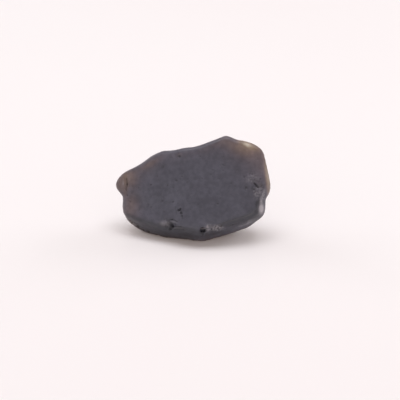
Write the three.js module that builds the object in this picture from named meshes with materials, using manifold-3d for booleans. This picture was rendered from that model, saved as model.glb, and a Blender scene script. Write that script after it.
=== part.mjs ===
// A tektite: one piece of dark natural glass, a wedge with one broad face.
// It stands on a small worn flat with the broad face leaning back.
// Millimetres, +Z up. The origin is on the surface it stands on, under the middle of the stone.
//
// The stone is described in the frame of its broad face: X to the right, Y up the face and Z out of it.
// skinDistance(p) says how far a point lies outside the stone. The mesh is a sphere whose points
// are pushed out along rays from a disc inside the stone until they meet that skin.
import * as THREE from "three";
import { mergeVertices } from "three/addons/utils/BufferGeometryUtils.js";
import Module from "manifold-3d";

// ---- Driving dimensions ----
const LEAN_DEG = 30; // the broad face tips back from upright by this much
const FLOOR_DROP = 10.35; // from the middle of the broad face down to the surface the stone stands on
const GIRDLE_DEPTH = -4.4; // depth at which the flanks stand out furthest, behind the face's middle
const GIRDLE_ACROSS = 0.128; // its rise towards the right
const GIRDLE_UP = 0.2; // its rise towards the top, above the middle
const FLANK_CROWN = 15; // radius of the flanks' bulge from front to back

// ---- Outline of the broad face, anticlockwise from the right-hand side ----
const OUTLINE = [
  [13.95, 0.35],
  [13.85, 2.5],
  [13.62, 4.9],
  [13.1, 7.15],
  [11, 8.45],
  [9.2, 9.1],
  [7.4, 9.3],
  [6.55, 9.65],
  [5.6, 9.88],
  [4.5, 9.5],
  [3.35, 9.03],
  [0, 8],
  [-4.3, 7.35],
  [-6.35, 7.05],
  [-9.15, 5.35],
  [-11.3, 4.25],
  [-13.7, 3.0],
  [-14.65, 2.15],
  [-14.9, 1.1],
  [-14.55, 0],
  [-13.45, -1.25],
  [-13.6, -3.4],
  [-13.25, -5.4],
  [-11.5, -7.05],
  [-9.1, -8.1],
  [-6.1, -8.85],
  [-3.3, -9.55],
  [-0.6, -10.35],
  [0.6, -10.4],
  [1.9, -9.8],
  [4.9, -8.85],
  [8.15, -7.55],
  [10.7, -6.35],
  [12.5, -4.75],
  [12.95, -2.8],
  [13.15, -1.7],
  [13.75, -0.8],
];

// ---- Sides: a point on each, the way it faces, its crown's radius and how far its edges round ----
const SIDES = {
  broadFace: { at: [3, -1, 0], facing: [0, 0, 1], crown: 110, rounding: 1.1 },
  leftFace: { at: [-0.8, 0, -0.35], facing: [-0.29, 0.02, 0.957], crown: 250, rounding: 0.9 },
  farLeftBevel: { at: [-10.5, -5.6, -3.7], facing: [-0.4, -0.76, 0.51], crown: 40, rounding: 0.5 },
  lowerLeftBevel: { at: [-4.5, -7.15, -2.2], facing: [-0.24, -0.79, 0.57], crown: 90, rounding: 0.35 },
  lowerRightBevel: { at: [6.5, -5.6, -0.3], facing: [0.29, -0.82, 0.49], crown: 90, rounding: 0.45 },
  rightBevel: { at: [12.5, -2.4, -0.9], facing: [0.76, -0.16, 0.62], crown: 30, rounding: 0.5 },
  backRight: { at: [8, 8.5, -3.5], facing: [0.25, 0.5, -0.83], crown: 60, rounding: 1 },
  backLeft: { at: [-9, 4.5, -7.2], facing: [-0.05, 0.35, -0.93], crown: 50, rounding: 1.2 },
  backLow: { at: [2, -5, -11.6], facing: [0.05, 0.02, -1], crown: 34, rounding: 2.4 },
  underside: { at: [0.4, -7.9, -7.6], facing: [0.03, -0.866, -0.5], crown: 90, rounding: 0.6 },
};

// ---- Hollows left by old flakes, as balls that bite into the skin ----
const SCARS = [
  { centre: [11.6, 9.9, -8.7], radius: 7.0, softness: 0.7 }, // thins the top right-hand edge
  { centre: [-14, -6.5, -13.6], radius: 6.2, softness: 0.9 }, // behind the lower left-hand edge
  { centre: [15.6, -3.6, -8.2], radius: 4.6, softness: 0.6 }, // behind the right-hand rim
];

// ---- Broad swells and dips of the skin: where, how wide and how high ----
const SWELLS = [
  { at: [-13.9, 1.2, -5.2], width: 1.1, height: 0.5 }, // knob at the left-hand tip
  { at: [5.7, 9.4, -1.2], width: 1.6, height: 0.15 }, // top lobe
  { at: [0.3, -9.1, -3.8], width: 2.3, height: 0.45 }, // foot of the broad face
  { at: [10.5, -5.4, -1.2], width: 2.4, height: 0.2 },
  { at: [-3, -1.5, 0], width: 5.5, height: 0.1 },
  { at: [4.5, 3.6, 0], width: 4.2, height: -0.08 },
  { at: [10.4, 2.6, 0], width: 2.4, height: -0.12 },
  { at: [-9.6, -2.2, -3.4], width: 3.2, height: -0.08 },
  { at: [-3.5, 1.0, -8.5], width: 3.4, height: -0.5 }, // dish in the back
  { at: [5.5, -1.0, -10], width: 2.8, height: 0.35 },
];

// ---- Chips and bubble pits: where, the radius of the ball that makes each, and its depth ----
const FRONT_DENTS = [
  [1.45, -7.5, 0.55, 0.5], // round pit on the lower rim
  [2.6, -6.95, 0.5, 0.2], // crumbled patch beside it
  [3.4, -7.2, 0.55, 0.24],
  [4.4, -7.0, 0.5, 0.2],
  [-6.3, -6.5, 1.1, 0.2], // chip on the lower left-hand rim
  [-5.2, -6.9, 0.9, 0.3],
  [-4.4, -6.55, 0.5, 0.3],
  [-2.9, 6.1, 0.9, 0.12],
  [9.3, 0.4, 0.8, 0.12],
  [12.2, -1.3, 0.6, 0.18], // ragged right-hand rim
];
const BACK_DENTS = [
  [2.5, 2.6, 1.5, 0.5],
  [3.9, 1.9, 0.8, 0.3],
  [-5.8, -1.2, 1.2, 0.5],
  [7.6, -2.4, 1.0, 0.45],
  [4.8, 5.6, 0.8, 0.35],
];

// ---- Grooves: the line that each follows, its radius and its depth ----
const FRONT_GROOVES = [
  { line: [[-12.85, 2.8], [-12.5, 0.9], [-12.8, -1.0]], radius: 0.7, depth: 0.16 }, // behind the knob
  { line: [[10.9, 1.4], [11.9, 0.5]], radius: 0.5, depth: 0.22 }, // nick
  {
    line: [[4.6, -6.5], [7.0, -5.75], [9.4, -5.1], [10.8, -4.4], [11.5, -3.4], [11.75, -2.2]],
    radius: 1.0,
    depth: 0.12,
  }, // above the rolled lower right-hand rim
];
const BACK_GROOVES = [
  { line: [[-3.2, -4.7], [0.4, -3.4], [4.4, -4.0]], radius: 1.5, depth: 0.22 },
  { line: [[-9.4, 1.4], [-7.2, 3.1], [-5.8, 5.0]], radius: 1.3, depth: 0.18 },
];
const MARK_SOFTNESS = 0.24; // how far a mark's rim rounds over

// Small pits scattered over the back, on a spiral whose steps are uneven
const BACK_PITS = 18;
const BACK_PIT_SPREAD = new THREE.Vector2(11.4, 6.6);
const BACK_PIT_MIDDLE = new THREE.Vector2(-0.4, -0.4);
const BACK_PIT_RADIUS = [0.5, 1.0];
const GOLDEN_ANGLE = Math.PI * (3 - Math.sqrt(5));

// ---- Gentle unevenness of the whole skin, half as strong on the broad face ----
const WAVES = 9;
const LONGEST_WAVE = 9;
const WAVE_SHRINK = 0.82; // each wave is this much shorter than the one before
const WAVE_HEIGHT = 0.01; // height over length

// ---- Mesh ----
const CORE = new THREE.Vector3(0, -0.4, -4.3); // the middle of a flat disc well inside the stone
const CORE_ACROSS = new THREE.Vector3(12, 0.2, 1.6); // half the disc, to the right
const CORE_UP = new THREE.Vector3(0, 6.2, 1.3); // half the disc, upwards
const RAY_STEEPNESS = 2.2; // turns the rays towards the broad face and the back
const REACH = 30; // longer than any ray needs
const SPHERE_DETAIL = 11;
const REFINE_PASSES = 3;
const CHORD_ERROR = 0.028; // an edge is halved where the skin bulges further than this from it
const MARK_EDGE = 0.36; // and where it crosses a mark and is longer than this
const MERGE_DISTANCE = 1e-5; // points nearer than this are one
const HALVINGS = 40; // a ray's meeting with the skin is found by halving it this often
const SLOPE_STEP = 0.02; // half the distance over which the skin's slope is measured
const CURVE_STEPS = 24; // points of the outline's curve for each point of OUTLINE
const TURN_STEPS = 1440; // directions in which the outline's radius is kept
const GROUND_SIDE = 60; // the block that wears the flat is larger than the stone
const GROUND_DEPTH = 10;

// A repeatable number from 0 to 1 for each index and use.
function chance(index, use) {
  const x = Math.sin(index * 12.9898 + use * 78.233) * 43758.5453;
  return x - Math.floor(x);
}

// The larger of two distances, with the edge between them rounded over a width of k.
function smoothMax(a, b, k) {
  const overlap = Math.max(k - Math.abs(a - b), 0) / k;
  return Math.max(a, b) + (overlap * overlap * k) / 4;
}

// Distance from the face's middle to the outline, for each direction in the face's plane.
function makeOutlineRadius() {
  const points = OUTLINE.map(([x, y]) => new THREE.Vector3(x, y, 0));
  const curve = new THREE.CatmullRomCurve3(points, true, "centripetal");
  const samples = curve.getPoints(OUTLINE.length * CURVE_STEPS).map((p) => ({
    angle: Math.atan2(p.y, p.x),
    radius: Math.hypot(p.x, p.y),
  }));
  samples.sort((a, b) => a.angle - b.angle);
  const table = new Float64Array(TURN_STEPS + 1);
  let next = 0;
  for (let i = 0; i <= TURN_STEPS; i++) {
    const angle = -Math.PI + (2 * Math.PI * i) / TURN_STEPS;
    while (next < samples.length - 1 && samples[next].angle < angle) next++;
    const before = samples[Math.max(next - 1, 0)];
    const after = samples[next];
    const span = after.angle - before.angle;
    const share = span > 0 ? THREE.MathUtils.clamp((angle - before.angle) / span, 0, 1) : 0;
    table[i] = THREE.MathUtils.lerp(before.radius, after.radius, share);
  }
  return (x, y) => {
    const place = ((Math.atan2(y, x) + Math.PI) / (2 * Math.PI)) * TURN_STEPS;
    const low = Math.min(Math.floor(place), TURN_STEPS - 1);
    return THREE.MathUtils.lerp(table[low], table[low + 1], place - low);
  };
}

const outlineRadius = makeOutlineRadius();

// Depth of the girdle, the line round the stone where its flanks stand out furthest.
function girdleDepth(x, y) {
  return GIRDLE_DEPTH + GIRDLE_ACROSS * x + GIRDLE_UP * Math.max(y, 0);
}

function flankDistance(p) {
  const bulge = (p.z - girdleDepth(p.x, p.y)) ** 2 / (2 * FLANK_CROWN);
  return Math.hypot(p.x, p.y) - outlineRadius(p.x, p.y) + bulge;
}

// A side is a ball so large that it passes for a slightly crowned flat.
function makeSide({ at, facing, crown, rounding }) {
  const outward = new THREE.Vector3(...facing).normalize();
  const centre = new THREE.Vector3(...at).addScaledVector(outward, -crown);
  return { centre, crown, rounding };
}

const sides = Object.values(SIDES).map(makeSide);
const scars = SCARS.map((scar) => ({ ...scar, centre: new THREE.Vector3(...scar.centre) }));
const swells = SWELLS.map((swell) => ({ ...swell, at: new THREE.Vector3(...swell.at) }));

// Waves of many directions and lengths, which add up to a gently uneven skin.
const waves = Array.from({ length: WAVES }, (_, i) => {
  const length = LONGEST_WAVE * WAVE_SHRINK ** i;
  const rise = 1 - (2 * (i + 0.5)) / WAVES;
  const ring = Math.sqrt(1 - rise * rise);
  const turn = i * GOLDEN_ANGLE;
  const direction = new THREE.Vector3(ring * Math.cos(turn), ring * Math.sin(turn), rise);
  return {
    direction: direction.multiplyScalar((2 * Math.PI) / length),
    phase: 2 * Math.PI * chance(i, 1),
    height: WAVE_HEIGHT * length,
  };
});

function unevenness(p) {
  const strength = 1 - 0.5 * THREE.MathUtils.smoothstep(p.z, -2.5, -0.5);
  const sum = waves.reduce((total, w) => total + w.height * Math.sin(w.direction.dot(p) + w.phase), 0);
  return strength * sum;
}

// Distance to the stone before its pits and grooves are sunk.
function bodyDistance(p) {
  let distance = flankDistance(p);
  for (const side of sides) {
    distance = smoothMax(distance, p.distanceTo(side.centre) - side.crown, side.rounding);
  }
  for (const swell of swells) {
    distance -= swell.height * Math.exp(-p.distanceToSquared(swell.at) / swell.width ** 2);
  }
  distance -= unevenness(p);
  for (const scar of scars) {
    distance = smoothMax(distance, scar.radius - p.distanceTo(scar.centre), scar.softness);
  }
  return distance;
}

// Where a ray that starts inside the stone comes out of it.
function meetSkin(distance, start, direction) {
  let inside = 0;
  let outside = REACH;
  const p = new THREE.Vector3();
  for (let i = 0; i < HALVINGS; i++) {
    const middle = (inside + outside) / 2;
    p.copy(start).addScaledVector(direction, middle);
    if (distance(p) < 0) inside = middle;
    else outside = middle;
  }
  return p;
}

function outwardAt(point) {
  const slope = ["x", "y", "z"].map((axis) => {
    const ahead = point.clone();
    const behind = point.clone();
    ahead[axis] += SLOPE_STEP;
    behind[axis] -= SLOPE_STEP;
    return bodyDistance(ahead) - bodyDistance(behind);
  });
  return new THREE.Vector3(...slope).normalize();
}

// A mark's points are put on the skin and raised so that it sinks in by its depth.
// side is 1 for the broad face and -1 for the back.
function makeMark(side, line, radius, depth) {
  const points = line.map(([x, y]) => {
    const start = new THREE.Vector3(x, y, girdleDepth(x, y));
    const onSkin = meetSkin(bodyDistance, start, new THREE.Vector3(0, 0, side));
    return onSkin.addScaledVector(outwardAt(onSkin), radius - depth);
  });
  return { points, radius };
}

const makeDents = (side, dents) =>
  dents.map(([x, y, radius, depth]) => makeMark(side, [[x, y]], radius, depth));
const makeGrooves = (side, grooves) =>
  grooves.map(({ line, radius, depth }) => makeMark(side, line, radius, depth));

function scatteredPits() {
  return Array.from({ length: BACK_PITS }, (_, i) => {
    const turn = i * GOLDEN_ANGLE + 0.8 * chance(i, 2);
    const reach = Math.sqrt((i + 0.6) / BACK_PITS) * (0.8 + 0.2 * chance(i, 3));
    const x = BACK_PIT_MIDDLE.x + BACK_PIT_SPREAD.x * reach * Math.cos(turn);
    const y = BACK_PIT_MIDDLE.y + BACK_PIT_SPREAD.y * reach * Math.sin(turn);
    const radius = THREE.MathUtils.lerp(...BACK_PIT_RADIUS, chance(i, 4) ** 2);
    return [x, y, radius, radius * (0.28 + 0.27 * chance(i, 5))];
  });
}

const marks = [
  ...makeDents(1, FRONT_DENTS),
  ...makeGrooves(1, FRONT_GROOVES),
  ...makeDents(-1, BACK_DENTS),
  ...makeDents(-1, scatteredPits()),
  ...makeGrooves(-1, BACK_GROOVES),
];

const segment = new THREE.Line3();
const nearest = new THREE.Vector3();

function distanceToLine(p, points) {
  if (points.length === 1) return p.distanceTo(points[0]);
  let least = Infinity;
  for (let i = 1; i < points.length; i++) {
    segment.set(points[i - 1], points[i]).closestPointToPoint(p, true, nearest);
    least = Math.min(least, p.distanceTo(nearest));
  }
  return least;
}

// Distance to the finished skin: the body less its marks.
function skinDistance(p) {
  let distance = bodyDistance(p);
  for (const mark of marks) {
    const cut = mark.radius - distanceToLine(p, mark.points);
    if (cut > distance - MARK_SOFTNESS) distance = smoothMax(distance, cut, MARK_SOFTNESS);
  }
  return distance;
}

// The skin's point for a point of the unit sphere, on a ray that starts on the core's disc.
function pushedOut(unit) {
  const start = CORE.clone().addScaledVector(CORE_ACROSS, unit.x).addScaledVector(CORE_UP, unit.y);
  return meetSkin(skinDistance, start, new THREE.Vector3(unit.x, unit.y, RAY_STEEPNESS * unit.z));
}

function crossesMark(middle, length) {
  return marks.some((mark) => distanceToLine(middle, mark.points) < mark.radius + length / 3);
}

// Halves each edge that the skin bulges away from, and splits the triangles to match.
function refine(mesh) {
  const halves = new Map();
  const half = (a, b) => {
    const key = a < b ? `${a},${b}` : `${b},${a}`;
    if (!halves.has(key)) {
      const unit = mesh.units[a].clone().add(mesh.units[b]).normalize();
      const chordMiddle = mesh.points[a].clone().lerp(mesh.points[b], 0.5);
      const point = pushedOut(unit);
      const length = mesh.points[a].distanceTo(mesh.points[b]);
      const bulges = point.distanceTo(chordMiddle) > CHORD_ERROR && length > MARK_EDGE;
      const split = bulges || (length > MARK_EDGE && crossesMark(point, length));
      halves.set(key, split ? mesh.units.push(unit) - 1 : -1);
      if (split) mesh.points.push(point);
    }
    return halves.get(key);
  };
  const triangles = [];
  for (const corners of mesh.triangles) {
    const middles = corners.map((corner, i) => half(corner, corners[(i + 1) % 3]));
    triangles.push(...splitTriangle(corners, middles));
  }
  mesh.triangles = triangles;
}

// A triangle as one to four smaller ones. middles[i] halves the edge from corner i, or is -1.
function splitTriangle(corners, middles) {
  const cuts = middles.filter((middle) => middle >= 0).length;
  if (cuts === 0) return [corners];
  if (cuts === 3) {
    const [a, b, c] = corners;
    const [ab, bc, ca] = middles;
    return [[a, ab, ca], [b, bc, ab], [c, ca, bc], [ab, bc, ca]];
  }
  const first = cuts === 1 ? middles.findIndex((m) => m >= 0) : (middles.indexOf(-1) + 1) % 3;
  const [a, b, c] = [0, 1, 2].map((i) => corners[(first + i) % 3]);
  const [ab, bc] = [0, 1].map((i) => middles[(first + i) % 3]);
  if (cuts === 1) return [[a, ab, c], [ab, b, c]];
  return [[ab, b, bc], [a, ab, bc], [a, bc, c]];
}

function bareMerged(geometry) {
  const bare = geometry.clone();
  bare.deleteAttribute("normal");
  bare.deleteAttribute("uv");
  return mergeVertices(bare, MERGE_DISTANCE);
}

function skinGeometry() {
  const sphere = bareMerged(new THREE.IcosahedronGeometry(1, SPHERE_DETAIL));
  const position = sphere.getAttribute("position");
  const units = Array.from({ length: position.count }, (_, i) =>
    new THREE.Vector3().fromBufferAttribute(position, i).normalize(),
  );
  const index = Array.from(sphere.getIndex().array);
  const triangles = [];
  for (let i = 0; i < index.length; i += 3) triangles.push(index.slice(i, i + 3));
  const mesh = { units, points: units.map(pushedOut), triangles };
  for (let pass = 0; pass < REFINE_PASSES; pass++) refine(mesh);
  const geometry = new THREE.BufferGeometry();
  const flat = mesh.points.flatMap((p) => p.toArray());
  geometry.setAttribute("position", new THREE.Float32BufferAttribute(flat, 3));
  geometry.setIndex(mesh.triangles.flat());
  return geometry;
}

// ---- The flat it stands on is worn off by the ground, a block whose top is at Z = 0 ----
const wasm = await Module();
wasm.setup();

function toSolid(geometry) {
  const { array } = geometry.getAttribute("position");
  const mesh = new wasm.Mesh({
    numProp: 3,
    vertProperties: new Float32Array(array),
    triVerts: new Uint32Array(geometry.getIndex().array),
  });
  return new wasm.Manifold(mesh);
}

function toGeometry(solid) {
  const { vertProperties, triVerts } = solid.getMesh();
  const geometry = new THREE.BufferGeometry();
  geometry.setAttribute("position", new THREE.BufferAttribute(vertProperties, 3));
  geometry.setIndex(new THREE.BufferAttribute(triVerts, 1));
  geometry.computeVertexNormals();
  return geometry;
}

function stoneGeometry() {
  const standing = skinGeometry();
  standing.rotateX(Math.PI / 2 - THREE.MathUtils.degToRad(LEAN_DEG));
  standing.translate(0, 0, FLOOR_DROP);
  const block = new THREE.BoxGeometry(GROUND_SIDE, GROUND_SIDE, GROUND_DEPTH);
  block.translate(0, 0, -GROUND_DEPTH / 2);
  return toGeometry(toSolid(standing).subtract(toSolid(bareMerged(block))));
}

// Dark smoky glass with an etched, satin skin
const glass = new THREE.MeshStandardMaterial({ color: 0x3f3d46, roughness: 0.45, metalness: 0 });

const tektite = new THREE.Mesh(stoneGeometry(), glass);
tektite.name = "tektite";

// The stone's middle goes over the origin.
const middle = new THREE.Box3().setFromObject(tektite).getCenter(new THREE.Vector3());
tektite.position.set(-middle.x, -middle.y, 0);

const part = new THREE.Group();
part.add(tektite);

export default part;
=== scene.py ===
"""Tektite: a small wedge of dark natural glass on a pale studio floor.

The solid stone gives the form. The stone operator lays a fine skin over it, carves the
small pits, nicks and flow lines that are too fine for the solid, and measures how much
glass lies behind every point, so that thin edges are painted with a brown glow. While
the skin is made its lengths are in millimetres, and the finished piece is in metres.
"""

import math

import bmesh
import bpy
import numpy as np
from bpy.props import FloatProperty, FloatVectorProperty, IntProperty, PointerProperty
from bpy.types import Operator, Panel, PropertyGroup
from mathutils import Matrix, Vector, noise
from mathutils.bvhtree import BVHTree


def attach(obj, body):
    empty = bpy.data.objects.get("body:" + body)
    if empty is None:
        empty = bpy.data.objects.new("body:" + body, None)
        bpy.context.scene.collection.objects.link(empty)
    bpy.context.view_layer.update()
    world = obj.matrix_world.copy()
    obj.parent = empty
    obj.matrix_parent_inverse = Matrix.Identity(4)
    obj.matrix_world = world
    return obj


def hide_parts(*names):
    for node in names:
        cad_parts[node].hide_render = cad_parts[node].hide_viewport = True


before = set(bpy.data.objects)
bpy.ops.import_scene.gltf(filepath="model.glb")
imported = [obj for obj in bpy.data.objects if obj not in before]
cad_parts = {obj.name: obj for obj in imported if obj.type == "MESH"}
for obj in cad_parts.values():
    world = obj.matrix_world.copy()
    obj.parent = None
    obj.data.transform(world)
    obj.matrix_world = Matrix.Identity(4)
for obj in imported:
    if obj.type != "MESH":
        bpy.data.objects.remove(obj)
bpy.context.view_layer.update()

bl_info = {
    "name": "Tektite",
    "version": (1, 0, 0),
    "blender": (4, 5, 0),
    "location": "View3D > Sidebar > Tektite",
    "description": "Builds a dark natural glass stone and its pale studio stage",
    "category": "Add Mesh",
}

NODE = "tektite"
BODY = "root"
MM_PER_M = 1000.0

# The broad face leans back, so marks on it are placed in its own plane: x to the right and
# y up its slope, both in mm from FACE_ORIGIN, which is given in the stone's own frame.
FACE_ORIGIN = np.array([0.439, -2.744, 10.35])
FACE_SLOPE = math.radians(60)  # from level
FACE_RIGHT = np.array([1.0, 0.0, 0.0])
FACE_UP = np.array([0.0, math.cos(FACE_SLOPE), math.sin(FACE_SLOPE)])
FACE_OUT = np.array([0.0, -math.sin(FACE_SLOPE), math.cos(FACE_SLOPE)])
STONE_HEART = Vector((0.4, 0.6, 7.4))  # a point deep inside, in mm

# Crisp marks on the broad face: start x, start y, end x, end y, half width, depth, in mm.
# A pit starts and ends in one place, and a raised lip has a depth below zero.
FACE_MARKS = (
    # nick, cracks and raised lip at the right-hand rim
    (10.85, 1.25, 11.65, 0.45, 0.17, 0.26),
    (11.6, -0.7, 11.8, -2.0, 0.18, 0.12),
    (11.8, -2.0, 11.6, -3.3, 0.2, 0.1),
    (12.2, -1.9, 12.15, -4.0, 0.45, -0.12),
    # chip on the lower rim, with the arch over it and the scratches beside it
    (-4.8, -6.1, -4.2, -6.7, 0.43, 0.4),
    (-4.3, -6.75, -4.6, -7.2, 0.32, 0.3),
    (-5.2, -5.65, -4.2, -5.4, 0.17, 0.14),
    (-4.2, -5.4, -3.3, -5.85, 0.17, 0.14),
    (-4.2, -6.1, -3.5, -6.3, 0.16, 0.16),
    (-3.8, -6.75, -2.5, -6.75, 0.16, 0.14),
    (-3.7, -7.2, -2.1, -7.3, 0.18, 0.16),
    # round pit on the lower rim
    (1.5, -7.3, 1.5, -7.3, 0.62, 0.34),
    (1.35, -8.0, 1.5, -7.4, 0.34, 0.24),
    # three close pits, and smaller ones further off
    (-3.0, -3.75, -2.72, -3.52, 0.27, 0.3),
    (-2.56, -4.16, -2.5, -4.3, 0.25, 0.24),
    (-2.42, -4.8, -2.42, -4.8, 0.24, 0.22),
    (9.34, 0.38, 9.34, 0.38, 0.3, 0.14),
    (-8.1, 0.95, -8.1, 0.95, 0.22, 0.14),
    (-3.4, 1.7, -3.4, 1.7, 0.26, 0.12),
    (-4.0, -2.2, -4.0, -2.2, 0.24, 0.12),
    (4.2, -2.5, 4.2, -2.5, 0.24, 0.12),
    (-2.9, 6.15, -2.9, 6.15, 0.3, 0.16),
    # crease behind the knob
    (-12.75, 2.1, -12.65, 1.1, 0.17, 0.14),
    (-12.65, 1.1, -12.8, 0.0, 0.17, 0.14),
    # bites along the lower left-hand edge
    (-11.95, -6.35, -11.8, -6.15, 0.34, 0.2),
    (-10.85, -7.2, -10.75, -6.9, 0.42, 0.26),
    (-9.75, -7.75, -9.7, -7.5, 0.3, 0.2),
    (-8.75, -8.15, -8.7, -7.9, 0.42, 0.24),
    (-7.3, -8.55, -7.3, -8.4, 0.3, 0.18),
)

# Crumbled places, where many small bites lie close together:
# centre x, centre y, half length, half height, turn in degrees, how many bites, half width
# and depth of the widest bite.
CRUMBLED_PLACES = (
    (3.5, -6.95, 1.7, 0.45, 4, 26, 0.36, 0.26),
    (-4.9, -6.1, 1.2, 0.7, -20, 14, 0.32, 0.16),
    (11.3, 0.9, 1.3, 2.6, 24, 44, 0.28, 0.13),
    (-2.7, -4.2, 0.9, 0.9, 0, 7, 0.16, 0.12),
)

# Patches where the glass is counted thinner, so that its painted glow is brighter and more
# light comes through, or thicker below zero: centre x, centre y, half length, half height,
# turn in degrees, how much thinner in mm.
GLOW_PATCHES = (
    (9.35, 8.35, 2.0, 0.6, -25, 1.95),
    (7.4, 7.6, 2.4, 1.4, -16, 1.2),
    (12.0, 6.4, 1.5, 1.7, 0, -0.9),
    (13.3, 2.2, 0.6, 3.6, 4, 3.0),
    (-8.3, 4.9, 2.4, 1.0, 30, 1.7),
    (-11.5, -3.0, 1.9, 2.9, 0, 2.3),
    (-11.7, 1.4, 1.8, 2.2, 0, 1.6),
)

# Places where the glass is scuffed or crushed to a pale frost, and those on the lip and the
# knob where a highlight is painted in pale: centre x, centre y, half length, half height,
# turn in degrees, how pale, how crumbly from 0 to 1.
FROST_AND_HIGHLIGHT_PLACES = (
    # painted highlight on the rolled lip at the right-hand rim
    (12.15, -3.45, 0.8, 0.42, 92, 1.7, 0.1),
    (12.1, -2.3, 0.9, 0.34, 92, 0.7, 0.3),
    (12.5, -1.0, 1.2, 0.4, 80, 0.5, 1),
    (11.5, -0.4, 1.4, 0.8, 70, 0.3, 1),
    (10.5, 2.1, 1.5, 0.9, 20, 0.2, 1),
    (2.4, -6.9, 0.7, 0.6, 80, 0.7, 0.8),
    (4.0, -6.95, 1.4, 0.6, 0, 0.65, 1),
    (-5.5, -6.15, 0.95, 0.5, 0, 0.42, 0.3),
    (-4.1, -5.85, 0.8, 0.24, -8, 0.16, 0.4),
    (-3.3, -7.0, 1.0, 0.2, -4, 0.16, 0.5),
    (9.6, -6.1, 2.2, 0.35, 24, 0.3, 1),
    # painted highlight streak on the knob
    (-13.4, 1.4, 0.16, 0.6, 0, 0.4, 0.5),
)

# The lower edge of the broad face, where pieces broke off it and where shade is painted along
# its fold: x and y along it.
SHADED_FOLD = (
    (-12.4, -4.9),
    (-10.1, -5.8),
    (-7.0, -6.8),
    (-3.2, -7.4),
    (0.4, -8.1),
    (3.3, -7.7),
    (5.2, -6.4),
    (8.0, -5.5),
    (9.7, -5.15),
    (10.9, -4.5),
    (11.55, -3.4),
    (11.65, -2.3),
)

# Making the skin, in mm.
WELD_DISTANCE = 0.001  # facet corners nearer than this are one
SMOOTHING_LEVELS = 2
RELAX_STRENGTH = 0.5  # how far a value moves towards its neighbours' mean in one turn
SKIN_RELAX_TURNS = 3
FLAT_HEIGHT = 0.02  # points lower than this belong to the flat that the stone stands on
LEAST_CLEARANCE = 0.004  # every other point stays at least this high

# Bites and pits, in mm. A share is depth over half width, and a wall is steeper when lower.
FACE_WALL = 0.6
BACK_WALL = 0.8
DARKEST_DEPTH = 0.2  # marks deeper than this look equally dark
LEAST_BITE = 0.45  # smallest crumbled bite over the widest
FACE_DRAWS = 11  # seeds of the two scatters
BACK_DRAWS = 23
FACE_PIT_SPREAD = 13  # to either side of the face's middle
FACE_PIT_HEIGHTS = (-9, -1, 8)  # lowest, likeliest and highest
FACE_PIT_LEAST = 0.12  # narrowest, and how much wider the widest is
FACE_PIT_GROWTH = 0.12
FACE_PIT_SHARE = 0.42
BACK_PIT_LEAST = 0.16
BACK_PIT_GROWTH = 0.5
BACK_PIT_SHARES = (0.2, 0.42)
BACK_PIT_LIMIT = 0.55  # cosine from the face's outward way, above which no pit is made

# Relief: flow bands that run across the stone, and a finer etched grain. A fractal is its
# falloff, its step in scale and its octaves.
BAND_STRETCH = (0.35, 0.9, 1.3)  # bands over each mm of x, y and z
BAND_FRACTAL = (1.0, 2.0, 3)
BAND_WEIGHT = 0.6
GRAIN_PER_MM = 2.6
GRAIN_FRACTAL = (0.9, 2.1, 3)
GRAIN_WEIGHT = 0.4
FACE_RELIEF = 0.15  # what is left of the relief on the broad face
BACK_RELIEF = 1.35  # what is added as the skin turns away from it

# Fades, each as the start and the width of a straight rise from 0 to 1. Toward is how far
# the skin looks the broad face's way, 1 when square to it and 0 when edge on.
FACE_MARKS_FADE = (0.1, 1 / 3)  # by toward
BACK_PITS_FADE = (-0.6, 1.0)  # by the opposite of toward
RELIEF_FADE = (-0.9, 1.0)  # by the opposite of toward
THIN_FADE = (-0.375, 1 / 1.2)  # by toward
FROST_FADE = (0.0, 0.3)  # by toward
CRUMB_FADE = (-0.2, 0.4)  # by noise
PATCH_FADE = (0.1875, 0.625)  # by the share of a soft patch
UNDERCUT_FADE = (0.45, 0.25)  # by how far the skin looks down the slope
LEFTWARD_FADE = (-4, 8)  # by mm to the left of the face's middle
LEAST_THIN = 0.25
LEAST_CRUMB = 0.25
LEAST_LEFTWARD = 0.3
CRUMB_SIZE = 0.36  # mm
FOLD_SHADE_WIDTH = 0.7  # mm that the painted shade along the lower fold reaches to either side

# The glass's finish. Sizes are across the lumps of a soft noise, in mm.
DRIFT_SIZE = 7.0  # slow changes in how far light comes through
DRIFT_DEPTH = 1.4
MOTTLE_SIZE = 0.8
MOTTLE_TONES = (0.88, 1.12)
FLOW_SIZE = 4.5
FLOW_TONES = (0.9, 1.1)
CLOUD_MIDDLE = (0.3, 0.7)  # where most of a noise's values lie
MARK_TONE = 0.55  # darkening at the bottom of a mark
EDGE_SHADE_TONE = 0.5  # painted shade on the downward faces and along the lower edge's fold
SATIN_SIZE = 2.4
SATIN_SPREAD = (-0.05, 0.06)  # around the roughness
GRAIN_SIZE = 0.22
PRICK_SPACING = 0.8
PRICK_WIDTH = 0.16  # share of the spacing
PRICK_WEIGHT = 1.2
BUMP_STRENGTH = 0.35
BUMP_HEIGHT = 0.00002  # in metres
CLEAR_DEPTHS = (2.6, 0.8)  # mm of glass where light starts to come through, and where most does
CLEAREST = 0.55
GLASS_IOR = 1.5

# Light in the glass.
GLASS_FADE = 1.5  # mm in which scattered light falls to about a third
RAY_SPREAD = math.radians(35)  # side rays turn this far from the inward one
RAY_START = 0.02  # mm below the skin
LIGHT_RELAX_TURNS = 12
LEAST_LIGHT = 1e-4

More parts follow.
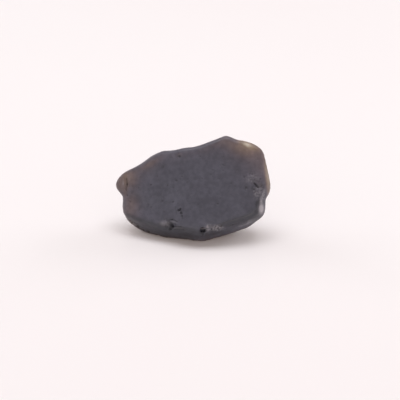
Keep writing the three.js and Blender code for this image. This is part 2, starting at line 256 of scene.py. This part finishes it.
# The stage, in metres.
FLOOR_HALF = 2.0
FLOOR_CAST_SIZE = 160.0  # mm across the floor's faint patches
FLOOR_CAST = (1.0, 0.985, 0.985)
FLOOR_ROUGHNESS = 0.12
FLOOR_IOR = 1.35
FLOOR_GLOW_COLOR = (1.0, 0.72, 0.6)
ABOVE_COLOR = (1.0, 0.88, 0.84)
BACKDROP_COLOR = (1.0, 0.97, 0.98)
BACKDROP_EDGE = (0.08, 0.4)  # how high the backdrop is whole, and where it has faded out
LAMP_COLOR = (1.0, 0.965, 1.0)
LIT_POINT = Vector((0, 0, 0.008))  # the lamps shine on it
ABOVE_PLACE = Vector((0.0, 0.075, 0.6))
ABOVE_SIZE = (0.65, 0.26)
SIDE_PLACE = Vector((0.45, 0.2, 0.24))  # of the right-hand one
SIDE_SIZE = (0.3, 0.2)
VIEW_AIM = Vector((0.001359, -0.003664, 0.008765))
LENS = 100  # mm, on a sensor 36 mm wide
SENSOR = 36
NEAREST_SEEN = 0.01


class StoneShape(PropertyGroup):
    """Sizes of the skin and of the fine marks on it."""

    grain: FloatProperty(
        name="Skin grain",
        description="Side of the skin's small squares, in mm",
        default=0.13,
        min=0.08,
        max=0.5,
    )
    mark_depth: FloatProperty(
        name="Mark depth",
        description="Scales the depth of the pits, nicks and crumbled places",
        default=1.0,
        min=0.0,
        max=2.0,
    )
    relief: FloatProperty(
        name="Relief",
        description="Height of the fine unevenness all over the stone, in mm",
        default=0.045,
        min=0.0,
        max=0.1,
    )
    back_pits: IntProperty(
        name="Back pits",
        description="How many small corrosion pits are spread over the back and underside",
        default=260,
        min=0,
        max=1000,
    )
    face_pits: IntProperty(
        name="Face pits",
        description="How many pinprick pits are spread over the broad face",
        default=130,
        min=0,
        max=400,
    )


class GlassLook(PropertyGroup):
    """Colours and finish of the natural glass."""

    body_color: FloatVectorProperty(
        name="Body colour",
        description="Colour of the thick, dark glass",
        subtype="COLOR",
        default=(0.088, 0.089, 0.115),
        min=0.0,
        max=1.0,
    )
    # also the pale of the painted highlights on the lip and the knob
    frost_and_highlight_color: FloatVectorProperty(
        name="Frost colour",
        description="Colour of scuffed and crushed glass",
        subtype="COLOR",
        default=(0.42, 0.395, 0.425),
        min=0.0,
        max=1.0,
    )
    # painted glow: light added to the colour where the glass is thin
    glow: FloatVectorProperty(
        name="Glow",
        description="Red, green and blue light that come back out of the thinnest glass",
        subtype="XYZ",
        default=(1.18, 1.12, 0.92),
        min=0.0,
        soft_max=2.0,
    )
    fading: FloatVectorProperty(
        name="Fading",
        description="How fast red, green and blue light fade in the glass, per mm",
        subtype="XYZ",
        default=(1.0, 1.22, 1.5),
        min=0.0,
        soft_max=4.0,
    )
    absorption_color: FloatVectorProperty(
        name="Absorption colour",
        description="Colour that light keeps on its way through the glass",
        subtype="COLOR",
        default=(0.36, 0.17, 0.0),
        min=0.0,
        max=1.0,
    )
    absorption_density: FloatProperty(
        name="Absorption",
        description="How strongly the glass takes up light, per metre",
        default=620.0,
        min=0.0,
    )
    roughness: FloatProperty(
        name="Roughness",
        description="Satin of the naturally etched surface",
        subtype="FACTOR",
        default=0.42,
        min=0.0,
        max=1.0,
    )


class StageLook(PropertyGroup):
    """The floor, the light and the camera."""

    floor_color: FloatVectorProperty(
        name="Floor colour",
        description="Pale, faintly warm white of the studio floor",
        subtype="COLOR",
        default=(0.885, 0.9, 0.905),
        min=0.0,
        max=1.0,
    )
    floor_glow: FloatProperty(
        name="Floor glow",
        description="Light that comes up through the floor sheet",
        default=0.07,
        min=0.0,
    )
    surround: FloatProperty(
        name="Surround",
        description="Strength of the even, faintly warm light from above and all round",
        default=0.4,
        min=0.0,
    )
    horizon: FloatProperty(
        name="Horizon",
        description="Strength of the pale backdrop near the horizon",
        default=0.95,
        min=0.0,
    )
    top_power: FloatProperty(
        name="Top power",
        description="Power of the softbox overhead",
        subtype="POWER",
        default=2.05,
        min=0.0,
    )
    side_power: FloatProperty(
        name="Side power",
        description="Power of each of the two softboxes behind the stone's ends",
        subtype="POWER",
        default=0.7,
        min=0.0,
    )
    view_height: FloatProperty(
        name="View height",
        description="Angle of the camera above the horizon",
        subtype="ANGLE",
        default=math.radians(30),
    )
    view_distance: FloatProperty(
        name="View distance",
        description="Distance from the camera to the point it looks at",
        subtype="DISTANCE",
        default=0.2026,
    )


def evaluated_copy(obj):
    """A new mesh of the object with its modifiers applied."""
    seen = obj.evaluated_get(bpy.context.evaluated_depsgraph_get())
    return bpy.data.meshes.new_from_object(seen)


def vertex_array(mesh, collection, name):
    """Vectors of a mesh, such as its points or normals, as rows of an array."""
    rows = np.zeros(len(mesh.vertices) * 3)
    getattr(mesh, collection).foreach_get(name, rows)
    return rows.reshape(-1, 3)


def set_points(mesh, points):
    """Moves the mesh's points to the rows of an array."""
    mesh.vertices.foreach_set("co", points.ravel())
    mesh.update()


def search_tree(mesh):
    """A tree for nearest points and ray casts on a mesh."""
    points = [vertex.co for vertex in mesh.vertices]
    return BVHTree.FromPolygons(points, [face.vertices[:] for face in mesh.polygons])


def relaxed(values, edges, turns):
    """Values at the points, evened out along the mesh's edges."""
    count = len(values)
    rows = values.reshape(count, -1).copy()
    starts = np.concatenate((edges[:, 0], edges[:, 1]))
    ends = np.concatenate((edges[:, 1], edges[:, 0]))
    links = np.maximum(np.bincount(starts, minlength=count), 1)
    for _ in range(turns):
        for column in range(rows.shape[1]):
            totals = np.bincount(starts, weights=rows[ends, column], minlength=count)
            rows[:, column] += RELAX_STRENGTH * (totals / links - rows[:, column])
    return rows.reshape(values.shape)


def edge_array(mesh):
    """The two points of each edge, as rows of an array."""
    pairs = np.zeros(len(mesh.edges) * 2, int)
    mesh.edges.foreach_get("vertices", pairs)
    return pairs.reshape(-1, 2)


def smooth_skin(solid, grain):
    """An even, fine mesh in mm over the faceted solid, with its facets smoothed away."""
    mesh = solid.data.copy()
    mesh.transform(Matrix.Scale(MM_PER_M, 4))
    joined = bmesh.new()
    joined.from_mesh(mesh)
    bmesh.ops.remove_doubles(joined, verts=joined.verts, dist=WELD_DISTANCE)
    joined.to_mesh(mesh)
    joined.free()
    mould = bpy.data.objects.new("mould", mesh)
    bpy.context.scene.collection.objects.link(mould)
    rounding = mould.modifiers.new("rounding", "SUBSURF")
    rounding.levels = rounding.render_levels = SMOOTHING_LEVELS
    rounded = evaluated_copy(mould)
    squares = mould.modifiers.new("squares", "REMESH")
    squares.mode = "VOXEL"
    squares.voxel_size = grain
    skin = evaluated_copy(mould)
    bpy.data.objects.remove(mould)
    surface = search_tree(rounded)
    points = vertex_array(skin, "vertices", "co")
    for index, point in enumerate(points):
        points[index] = surface.find_nearest(Vector(point))[0]
    set_points(skin, relaxed(points, edge_array(skin), SKIN_RELAX_TURNS))
    bpy.data.meshes.remove(rounded)
    skin.materials.clear()
    return skin


def toward_face(normals):
    """How far the skin looks the broad face's way at each point."""
    return normals @ FACE_OUT


def rise(values, start, width):
    """0 up to the start, 1 from start + width on, and a straight rise between."""
    return np.clip((values - start) / width, 0, 1)


def line_distance(places, start, end):
    """Distance of each place to a line between two points."""
    start, end = np.asarray(start, float), np.asarray(end, float)
    along = end - start
    length = along @ along
    share = np.zeros(len(places))
    if length > 0:
        share = np.clip((places - start) @ along / length, 0, 1)
    return np.linalg.norm(places - start - share[:, None] * along, axis=1)


def bite(distance, half_width, depth, wall=FACE_WALL):
    """Depth of a mark with steep walls and a rounded bottom, by distance from its middle."""
    inside = np.clip(1 - (distance / half_width) ** 2, 0, 1)
    return depth * inside**wall


def face_places(points):
    """The points in the broad face's own plane."""
    local = points - FACE_ORIGIN
    return np.stack((local @ FACE_RIGHT, local @ FACE_UP), axis=1)


def crumbled_bites(draws):
    """Centres, half widths and depths of the bites in the crumbled places."""
    for x, y, length, height, turn, count, widest, depth in CRUMBLED_PLACES:
        angle = math.radians(turn)
        for _ in range(count):
            radius = math.sqrt(draws.random_sample())
            way = 2 * math.pi * draws.random_sample()
            across, up = length * radius * math.cos(way), height * radius * math.sin(way)
            size = draws.uniform(LEAST_BITE, 1.0)
            centre = (
                x + across * math.cos(angle) - up * math.sin(angle),
                y + across * math.sin(angle) + up * math.cos(angle),
            )
            yield centre, widest * size, depth * size


def face_carving(points, normals, shape):
    """Depth of the crisp marks on the broad face at each point."""
    draws = np.random.RandomState(FACE_DRAWS)
    places = face_places(points)
    carved = np.zeros(len(points))
    for x1, y1, x2, y2, half_width, depth in FACE_MARKS:
        marked = bite(line_distance(places, (x1, y1), (x2, y2)), half_width, abs(depth))
        carved += math.copysign(1, depth) * marked
    for centre, half_width, depth in crumbled_bites(draws):
        distance = np.linalg.norm(places - centre, axis=1)
        carved = np.maximum(carved, bite(distance, half_width, depth))
    for _ in range(shape.face_pits):
        across = draws.uniform(-FACE_PIT_SPREAD, FACE_PIT_SPREAD)
        centre = (across, draws.triangular(*FACE_PIT_HEIGHTS))
        half_width = FACE_PIT_LEAST + FACE_PIT_GROWTH * draws.random_sample() ** 2
        distance = np.linalg.norm(places - centre, axis=1)
        carved = np.maximum(carved, bite(distance, half_width, FACE_PIT_SHARE * half_width))
    return carved * rise(toward_face(normals), *FACE_MARKS_FADE)


def back_carving(points, normals, surface, shape):
    """Depth of the corrosion pits on the back, the sides and the underside."""
    draws = np.random.RandomState(BACK_DRAWS)
    carved = np.zeros(len(points))
    for _ in range(shape.back_pits):
        way = Vector(draws.normal(size=3)).normalized()
        hit = surface.ray_cast(STONE_HEART, way)[0]
        half_width = BACK_PIT_LEAST + BACK_PIT_GROWTH * draws.random_sample() ** 3
        depth = draws.uniform(*BACK_PIT_SHARES) * half_width
        if hit is None or way.dot(Vector(FACE_OUT)) > BACK_PIT_LIMIT:
            continue
        distance = np.linalg.norm(points - np.array(hit), axis=1)
        carved = np.maximum(carved, bite(distance, half_width, depth, BACK_WALL))
    return carved * rise(-toward_face(normals), *BACK_PITS_FADE)


def fine_relief(points, normals):
    """Unevenness of about -1 to 1 at each point: flow bands, and a fine etched grain."""
    relief = np.zeros(len(points))
    stretch = Vector(BAND_STRETCH)
    for index, point in enumerate(points):
        place = Vector(point)
        relief[index] = BAND_WEIGHT * noise.fractal(place * stretch, *BAND_FRACTAL)
        relief[index] += GRAIN_WEIGHT * noise.fractal(place * GRAIN_PER_MM, *GRAIN_FRACTAL)
    turned_away = rise(-toward_face(normals), *RELIEF_FADE)
    return relief * (FACE_RELIEF + BACK_RELIEF * turned_away)


def soft_patch(places, x, y, length, height, turn):
    """Share of a soft oval patch of the face at each place: 1 in its middle, falling to 0."""
    angle = math.radians(turn)
    away = places - (x, y)
    along = (away[:, 0] * math.cos(angle) + away[:, 1] * math.sin(angle)) / length
    across = (away[:, 1] * math.cos(angle) - away[:, 0] * math.sin(angle)) / height
    return np.exp(-(along**2) - across**2)


def glow_patch_thinning(points, normals):
    """How much thinner the glass is counted at each point, for patches of painted glow."""
    places = face_places(points)
    thinner = np.zeros(len(points))
    thicker = np.zeros(len(points))
    for *patch, amount in GLOW_PATCHES:
        change = amount * soft_patch(places, *patch)
        thinner = np.maximum(thinner, change)
        thicker = np.minimum(thicker, change)
    from_face = rise(toward_face(normals), *THIN_FADE)
    return (thinner + thicker) * np.maximum(from_face, LEAST_THIN)


def frost_and_highlight_share(points, normals):
    """How pale each point is, from 0 to 1, for the frost and the painted highlights."""
    places = face_places(points)
    crumbs = np.array([noise.noise(Vector(point) / CRUMB_SIZE) for point in points])
    crumbs = LEAST_CRUMB + (1 - LEAST_CRUMB) * rise(crumbs, *CRUMB_FADE)
    pale = np.zeros(len(points))
    for *patch, amount, crumbly in FROST_AND_HIGHLIGHT_PLACES:
        soft = soft_patch(places, *patch)
        crisp = rise(soft, *PATCH_FADE) * crumbs
        pale = np.maximum(pale, amount * (soft + crumbly * (crisp - soft)))
    return pale * rise(toward_face(normals), *FROST_FADE)


def edge_shade_share(points, normals):
    """Painted shade on downward faces, more to the left, and along the lower fold, 0 to 1."""
    places = face_places(points)
    turned_down = rise(-(normals @ FACE_UP), *UNDERCUT_FADE)
    leftward = np.maximum(rise(-places[:, 0], *LEFTWARD_FADE), LEAST_LEFTWARD)
    away = np.full(len(points), np.inf)
    for start, end in zip(SHADED_FOLD, SHADED_FOLD[1:]):
        away = np.minimum(away, line_distance(places, start, end))
    edge = np.exp(-((away / FOLD_SHADE_WIDTH) ** 2)) * (toward_face(normals) > 0)
    return np.clip(turned_down * leftward + edge, 0, 1)


def glass_depth(tree, edges, points, normals):
    """Millimetres of glass behind each point, evened out as scattered light would be.

    From each point one ray goes straight in, four spread round it, and one goes along the
    broad face's own direction, because the face's thin rims are thin that way.
    """
    face_out = Vector(FACE_OUT)
    seen = np.zeros(len(points))
    for index, (point, normal) in enumerate(zip(points, normals)):
        inward = -Vector(normal)
        side = inward.orthogonal().normalized()
        other = inward.cross(side)
        start = Vector(point) + inward * RAY_START
        rays = [inward]
        for quarter in range(4):
            turn = quarter * math.pi / 2
            spread = side * math.cos(turn) + other * math.sin(turn)
            rays.append(inward * math.cos(RAY_SPREAD) + spread * math.sin(RAY_SPREAD))
        rays.append(-face_out if inward.dot(face_out) < 0 else face_out)
        for ray in rays:
            distance = tree.ray_cast(start, ray)[3]
            seen[index] += math.exp(-(distance or 0.0) / GLASS_FADE) / len(rays)
    seen = np.clip(relaxed(seen, edges, LIGHT_RELAX_TURNS), LEAST_LIGHT, 1)
    # patches of painted glow count the glass thinner
    return -GLASS_FADE * np.log(seen) - glow_patch_thinning(points, normals)


def point_attribute(mesh, name, values):
    """Keeps one number for each point in the mesh, for the material to read."""
    attribute = mesh.attributes.new(name, "FLOAT", "POINT")
    attribute.data.foreach_set("value", values.astype(np.float32))


def stone_mesh(solid, shape):
    """The finished skin, in metres."""
    skin = smooth_skin(solid, shape.grain)
    surface = search_tree(skin)
    points = vertex_array(skin, "vertices", "co")
    normals = vertex_array(skin, "vertex_normals", "vector")
    depth = glass_depth(surface, edge_array(skin), points, normals)
    carved = face_carving(points, normals, shape)
    carved += back_carving(points, normals, surface, shape)
    lift = shape.relief * fine_relief(points, normals) - shape.mark_depth * carved
    resting = points[:, 2] < FLAT_HEIGHT
    lift[resting] = 0
    points += normals * lift[:, None]
    points[:, 2] = np.where(resting, 0, np.maximum(points[:, 2], LEAST_CLEARANCE))
    set_points(skin, points)
    point_attribute(skin, "glass_depth", depth)
    point_attribute(skin, "carved", np.clip(carved / DARKEST_DEPTH, 0, 1))
    point_attribute(skin, "frost_and_highlight", frost_and_highlight_share(points, normals))
    point_attribute(skin, "painted_edge_shade", edge_shade_share(points, normals))
    skin.transform(Matrix.Scale(1 / MM_PER_M, 4))
    skin.polygons.foreach_set("use_smooth", [True] * len(skin.polygons))
    skin.update()
    return skin


class NodeBench:
    """Adds and links the nodes of one material or surround."""

    def __init__(self, owner):
        owner.use_nodes = True
        self.tree = owner.node_tree
        self.tree.nodes.clear()

    def add(self, kind, inputs=None, **settings):
        """A new node with its inputs fed and its settings made."""
        node = self.tree.nodes.new(kind)
        for name, value in settings.items():
            setattr(node, name, value)
        for name, value in (inputs or {}).items():
            self.feed(node.inputs[name], value)
        return node

    def feed(self, socket, value):
        """Links an output to the socket, or sets the socket's own value."""
        if isinstance(value, bpy.types.NodeSocket):
            self.tree.links.new(value, socket)
        else:
            socket.default_value = value

    def math(self, operation, first, second=0.0, clamp=False):
        """The result of a sum on one or two values."""
        node = self.add("ShaderNodeMath", operation=operation, use_clamp=clamp)
        self.feed(node.inputs[0], first)
        self.feed(node.inputs[1], second)
        return node.outputs[0]

    def between(self, value, low, high, to_low=0.0, to_high=1.0):
        """Smoothly maps low..high of a value to another range."""
        node = self.add("ShaderNodeMapRange", interpolation_type="SMOOTHSTEP")
        names = ("Value", "From Min", "From Max", "To Min", "To Max")
        for name, number in zip(names, (value, low, high, to_low, to_high)):
            self.feed(node.inputs[name], number)
        return node.outputs["Result"]

    def blend(self, share, first, second, kind="MIX"):
        """Two colours blended, with a share of 1 for the whole effect of the second."""
        node = self.add("ShaderNodeMix", data_type="RGBA", blend_type=kind)
        colors = [socket for socket in node.inputs if socket.type == "RGBA"]
        self.feed(node.inputs["Factor"], share)
        self.feed(colors[0], first)
        self.feed(colors[1], second)
        return [socket for socket in node.outputs if socket.type == "RGBA"][0]

    def cloud(self, place, size_mm, detail=3.0, roughness=0.5):
        """A soft noise whose lumps are about size_mm across."""
        node = self.add(
            "ShaderNodeTexNoise",
            {
                "Vector": place,
                "Scale": MM_PER_M / size_mm,
                "Detail": detail,
                "Roughness": roughness,
            },
        )
        return node.outputs["Fac"]

    def attribute(self, name):
        """A number that the mesh keeps for each of its points."""
        return self.add("ShaderNodeAttribute", attribute_name=name).outputs["Fac"]


def opaque(color):
    """The colour with full cover."""
    return (*color, 1.0)


def etched_glass(look):
    """Dark natural glass with an etched satin skin, clear and brown where it is thin."""
    material = bpy.data.materials.new("etched_glass")
    bench = NodeBench(material)
    place = bench.add("ShaderNodeTexCoord").outputs["Object"]

    # depth of glass, slightly uneven
    depth = bench.attribute("glass_depth")
    drift = bench.cloud(place, DRIFT_SIZE, detail=2.0)
    uneven = bench.math("MULTIPLY", bench.math("SUBTRACT", drift, 0.5), DRIFT_DEPTH)
    depth = bench.math("ADD", depth, uneven)

    # painted glow: brown light that comes back out of thin glass, added to the base colour
    painted_glow = bench.add("ShaderNodeCombineColor")
    for channel, glow, fade in zip(("Red", "Green", "Blue"), look.glow, look.fading):
        left = bench.math("EXPONENT", bench.math("MULTIPLY", depth, -fade))
        bench.feed(painted_glow.inputs[channel], bench.math("MULTIPLY", left, glow, clamp=True))
    color = bench.blend(1.0, opaque(look.body_color), painted_glow.outputs["Color"], kind="ADD")

    # tones of the skin and its marks, and painted shade on the lower edge; then the frost and
    # painted highlights over them
    specks = bench.cloud(place, MOTTLE_SIZE, detail=4.0)
    mottle = bench.between(specks, *CLOUD_MIDDLE, *MOTTLE_TONES)
    bands = bench.cloud(place, FLOW_SIZE, detail=2.0)
    flow = bench.between(bands, *CLOUD_MIDDLE, *FLOW_TONES)
    mottle = bench.math("MULTIPLY", mottle, flow)
    dusk = bench.between(bench.attribute("carved"), 0.0, 1.0, 1.0, MARK_TONE)
    # painted shade on the downward faces and along the lower fold
    edge_shade = bench.between(bench.attribute("painted_edge_shade"), 0.0, 1.0, 1.0, EDGE_SHADE_TONE)
    tone = bench.math("MULTIPLY", bench.math("MULTIPLY", mottle, dusk), edge_shade)
    shade = bench.add("ShaderNodeCombineColor")
    for channel in ("Red", "Green", "Blue"):
        bench.feed(shade.inputs[channel], tone)
    color = bench.blend(1.0, color, shade.outputs["Color"], kind="MULTIPLY")
    # pale frost, and painted highlights on the lip and the knob
    color = bench.blend(bench.attribute("frost_and_highlight"), color, opaque(look.frost_and_highlight_color))

    # satin finish and etched grain
    sheen = bench.cloud(place, SATIN_SIZE, detail=4.0)
    satin_range = [look.roughness + change for change in SATIN_SPREAD]
    satin = bench.between(sheen, *CLOUD_MIDDLE, *satin_range)
    grain = bench.cloud(place, GRAIN_SIZE, detail=3.0, roughness=0.6)
    pricks = bench.add(
        "ShaderNodeTexVoronoi",
        {"Vector": place, "Scale": MM_PER_M / PRICK_SPACING, "Randomness": 1.0},
    ).outputs["Distance"]
    prick = bench.between(pricks, 0.0, PRICK_WIDTH, -1.0, 0.0)
    height = bench.math("ADD", grain, bench.math("MULTIPLY", prick, PRICK_WEIGHT))
    bump = bench.add(
        "ShaderNodeBump",
        {"Height": height, "Strength": BUMP_STRENGTH, "Distance": BUMP_HEIGHT},
    ).outputs["Normal"]

    surface = bench.add(
        "ShaderNodeBsdfPrincipled",
        {
            "Base Color": color,
            "Roughness": satin,
            "IOR": GLASS_IOR,
            "Transmission Weight": bench.between(depth, *CLEAR_DEPTHS, 0.0, CLEAREST),
            "Normal": bump,
        },
    )
    inside = bench.add(
        "ShaderNodeVolumeAbsorption",
        {"Color": opaque(look.absorption_color), "Density": look.absorption_density},
    )
    output = bench.add("ShaderNodeOutputMaterial")
    bench.feed(output.inputs["Surface"], surface.outputs["BSDF"])
    bench.feed(output.inputs["Volume"], inside.outputs["Volume"])
    return material


def satin_floor(look):
    """Pale sheet with a faint mirror in it."""
    material = bpy.data.materials.new("satin_floor")
    bench = NodeBench(material)
    place = bench.add("ShaderNodeTexCoord").outputs["Object"]
    cast = bench.between(bench.cloud(place, FLOOR_CAST_SIZE, detail=1.0), *CLOUD_MIDDLE)
    warm = [value * tint for value, tint in zip(look.floor_color, FLOOR_CAST)]
    color = bench.blend(cast, opaque(look.floor_color), opaque(warm))
    surface = bench.add(
        "ShaderNodeBsdfPrincipled",
        {
            "Base Color": color,
            "Roughness": FLOOR_ROUGHNESS,
            "IOR": FLOOR_IOR,
            "Emission Color": opaque(FLOOR_GLOW_COLOR),
            "Emission Strength": look.floor_glow,
        },
    )
    output = bench.add("ShaderNodeOutputMaterial")
    bench.feed(output.inputs["Surface"], surface.outputs["BSDF"])
    return material


class TEKTITE_OT_stone(Operator):
    """Lays the finished glass skin over the solid stone"""

    bl_idname = "tektite.stone"
    bl_label = "Stone"

    def execute(self, context):
        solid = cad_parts[NODE]
        mesh = stone_mesh(solid, context.scene.tektite_shape)
        if not mesh.polygons:
            raise RuntimeError("the stone's skin came out empty")
        mesh.materials.append(etched_glass(context.scene.tektite_glass))
        stone = bpy.data.objects.new("tektite_skin", mesh)
        context.scene.collection.objects.link(stone)
        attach(stone, BODY)
        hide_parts(NODE)
        return {"FINISHED"}


def pale_surround(look):
    """Even light from above that brightens to a pale backdrop near the horizon."""
    world = bpy.data.worlds.new("pale_surround")
    bench = NodeBench(world)
    way = bench.add("ShaderNodeTexCoord").outputs["Generated"]
    height = bench.add("ShaderNodeSeparateXYZ", {"Vector": way}).outputs["Z"]
    low = bench.between(height, *BACKDROP_EDGE, 1.0, 0.0)
    above = opaque(value * look.surround for value in ABOVE_COLOR)
    backdrop = opaque(value * look.horizon for value in BACKDROP_COLOR)
    sky = bench.add("ShaderNodeBackground", {"Color": bench.blend(low, above, backdrop)})
    output = bench.add("ShaderNodeOutputWorld")
    bench.feed(output.inputs["Surface"], sky.outputs["Background"])
    return world


def add_softbox(name, place, size, power):
    """A rectangular area light, turned to shine on the stone."""
    lamp = bpy.data.lights.new(name, "AREA")
    lamp.shape = "RECTANGLE"
    lamp.size, lamp.size_y = size
    lamp.energy = power
    lamp.color = LAMP_COLOR
    softbox = bpy.data.objects.new(name, lamp)
    softbox.location = place
    softbox.rotation_euler = (LIT_POINT - place).to_track_quat("-Z", "Y").to_euler()
    bpy.context.scene.collection.objects.link(softbox)
    return softbox


class TEKTITE_OT_stage(Operator):
    """Adds the floor, the soft light and the camera"""

    bl_idname = "tektite.stage"
    bl_label = "Stage"

    def execute(self, context):
        look = context.scene.tektite_stage
        self.add_floor(context.scene, look)
        self.add_light(context.scene, look)
        self.add_camera(context.scene, look)
        if context.scene.camera is None:
            raise RuntimeError("the stage has no camera")
        return {"FINISHED"}

    def add_floor(self, scene, look):
        """A level sheet under the stone."""
        mesh = bpy.data.meshes.new("studio_floor")
        ways = ((-1, -1), (1, -1), (1, 1), (-1, 1))
        corners = [(FLOOR_HALF * x, FLOOR_HALF * y, 0) for x, y in ways]
        mesh.from_pydata(corners, [], [(0, 1, 2, 3)])
        mesh.materials.append(satin_floor(look))
        floor = bpy.data.objects.new("studio_floor", mesh)
        scene.collection.objects.link(floor)

    def add_light(self, scene, look):
        """A softbox overhead, one behind each end of the stone, and the surround."""
        scene.world = pale_surround(look)
        add_softbox("softbox_above", ABOVE_PLACE, ABOVE_SIZE, look.top_power)
        for side, way in (("left", -1), ("right", 1)):
            place = SIDE_PLACE * Vector((way, 1, 1))
            softbox = add_softbox("softbox_" + side, place, SIDE_SIZE, look.side_power)
            softbox.visible_glossy = False  # its mirror image would lie across the floor
        scene.view_settings.view_transform = "Standard"

    def add_camera(self, scene, look):
        """A long lens that looks down on the broad face, square to it."""
        back = Vector((0, -math.cos(look.view_height), math.sin(look.view_height)))
        lens = bpy.data.cameras.new("studio_camera")
        lens.lens = LENS
        lens.sensor_width = SENSOR
        lens.clip_start = NEAREST_SEEN
        camera = bpy.data.objects.new("studio_camera", lens)
        camera.location = VIEW_AIM + back * look.view_distance
        camera.rotation_euler = (-back).to_track_quat("-Z", "Y").to_euler()
        scene.collection.objects.link(camera)
        scene.camera = camera


class TEKTITE_PT_panel(Panel):
    """Lists the stone's and the stage's settings"""

    bl_idname = "TEKTITE_PT_panel"
    bl_label = "Tektite"
    bl_space_type = "VIEW_3D"
    bl_region_type = "UI"
    bl_category = "Tektite"

    def draw(self, context):
        for group, operator in (
            ("tektite_shape", None),
            ("tektite_glass", "tektite.stone"),
            ("tektite_stage", "tektite.stage"),
        ):
            column = self.layout.column()
            settings = getattr(context.scene, group)
            for name in settings.__annotations__:
                column.prop(settings, name)
            if operator:
                column.operator(operator)


CLASSES = (
    StoneShape,
    GlassLook,
    StageLook,
    TEKTITE_OT_stone,
    TEKTITE_OT_stage,
    TEKTITE_PT_panel,
)


def register():
    """Makes the settings, the operators and the panel known."""
    for kind in CLASSES:
        bpy.utils.register_class(kind)
    bpy.types.Scene.tektite_shape = PointerProperty(type=StoneShape)
    bpy.types.Scene.tektite_glass = PointerProperty(type=GlassLook)
    bpy.types.Scene.tektite_stage = PointerProperty(type=StageLook)


def unregister():
    """Takes them away again."""
    del bpy.types.Scene.tektite_stage
    del bpy.types.Scene.tektite_glass
    del bpy.types.Scene.tektite_shape
    for kind in reversed(CLASSES):
        bpy.utils.unregister_class(kind)


def main():
    """Builds the stone and its stage."""
    register()
    bpy.ops.tektite.stone()
    bpy.ops.tektite.stage()


if __name__ == "__main__":
    main()
